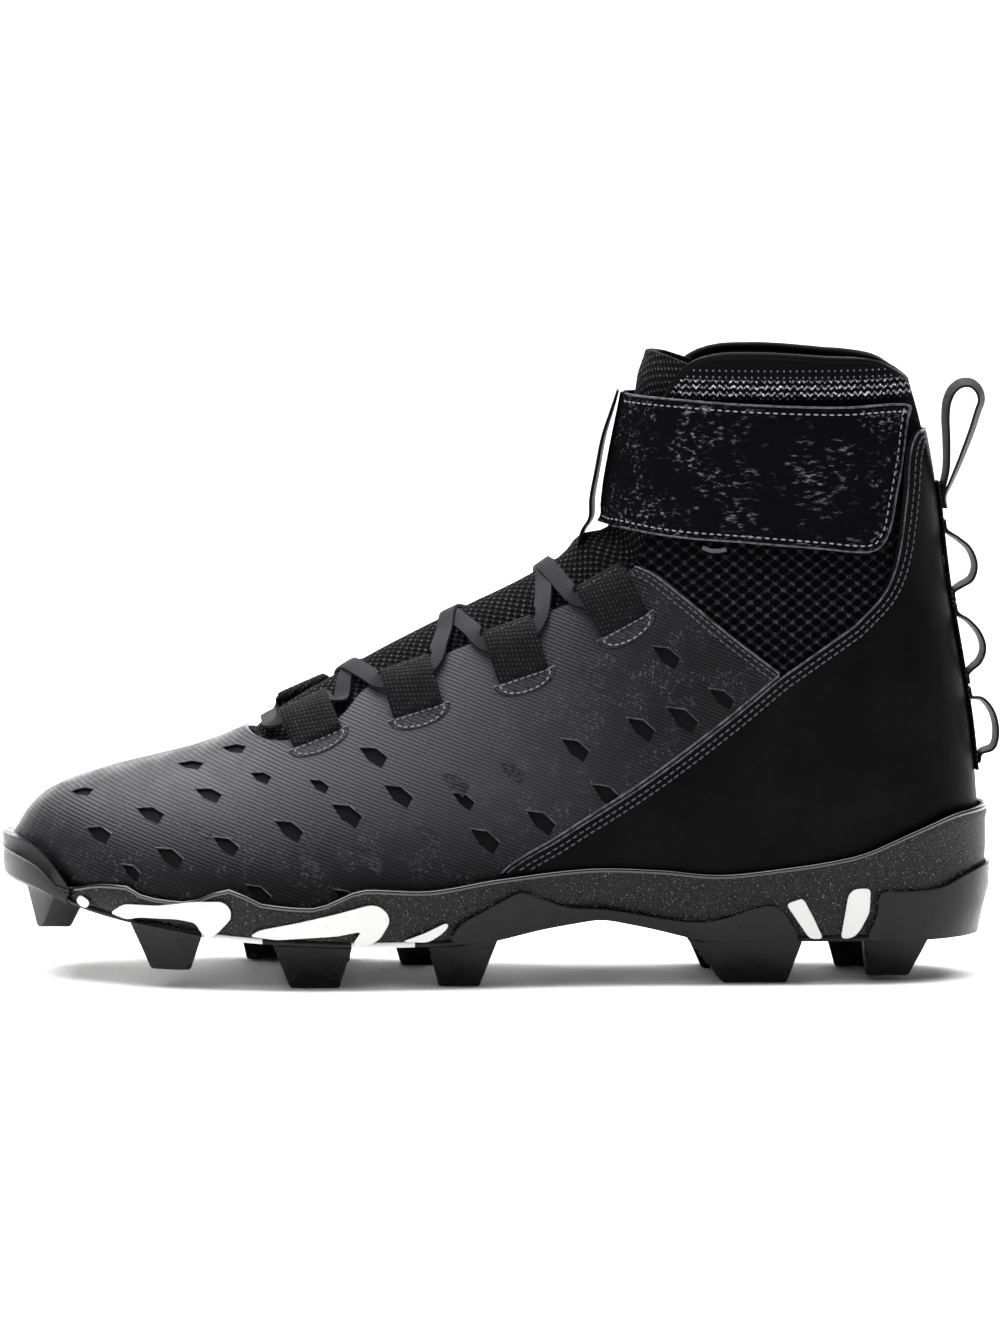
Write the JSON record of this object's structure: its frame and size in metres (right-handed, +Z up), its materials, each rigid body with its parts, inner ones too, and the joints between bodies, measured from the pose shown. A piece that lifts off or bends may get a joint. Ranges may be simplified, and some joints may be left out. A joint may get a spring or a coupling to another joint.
{
  "type": "american football cleat",
  "caption": "High-top lace-up football boot: hollow lasted upper, webbing lace loops, ankle strap, ribbon loops up the heel and a moulded sole with tapered lugs.",
  "frame": {"origin": "on the plane of the lug tips, under the middle of the shoe's length and width", "axes": "+X from the toe towards the heel, +Y towards the inner (medial) side, +Z up"},
  "size_m": [0.3002, 0.1071, 0.1877],
  "materials": {
    "knit": "black spacer knit",
    "vamp_synthetic": "satin dark grey ripstop-like synthetic",
    "quarter_synthetic": "smooth satin black synthetic",
    "stippled_rubber": "black, finely stippled",
    "smooth_plastic": "smooth black, satin",
    "white_plastic": "smooth white",
    "webbing": "black woven webbing",
    "lace": "flat grey woven lace",
    "foam": "cloth-covered foam"
  },
  "bodies": {
    "root": {"ankle_strap": "webbing", "arch_pod_lateral": "smooth_plastic", "arch_pod_medial": "smooth_plastic", "heel_loop_1": "webbing", "heel_loop_2": "webbing", "heel_loop_3": "webbing", "heel_pod": "smooth_plastic", "heel_quarter": "quarter_synthetic", "heel_webbing": "webbing", "insert_ball_lateral": "white_plastic", "insert_ball_medial": "white_plastic", "insert_forefoot_front_lateral": "white_plastic", "insert_forefoot_front_medial": "white_plastic", "insert_forefoot_rear_lateral": "white_plastic", "insert_forefoot_rear_medial": "white_plastic", "insert_heel_front_lateral": "white_plastic", "insert_heel_front_medial": "white_plastic", "insert_heel_rear_lateral": "white_plastic", "insert_heel_rear_medial": "white_plastic", "insert_toe_lateral": "white_plastic", "insert_toe_medial": "white_plastic", "insole": "foam", "lace_loop_lateral_1": "webbing", "lace_loop_lateral_2": "webbing", "lace_loop_lateral_3": "webbing", "lace_loop_lateral_4": "webbing", "lace_loop_medial_1": "webbing", "lace_loop_medial_2": "webbing", "lace_loop_medial_3": "webbing", "lace_loop_medial_4": "webbing", "laces": "lace", "lug_forefoot_front_lateral": "smooth_plastic", "lug_forefoot_front_medial": "smooth_plastic", "lug_forefoot_rear_lateral": "smooth_plastic", "lug_forefoot_rear_medial": "smooth_plastic", "midsole": "stippled_rubber", "plate": "white_plastic", "pull_loop": "webbing", "strap_keeper": "webbing", "toe_bumper": "smooth_plastic", "tongue": "knit", "upper": "knit", "vamp": "vamp_synthetic"}
  },
  "joints": []
}
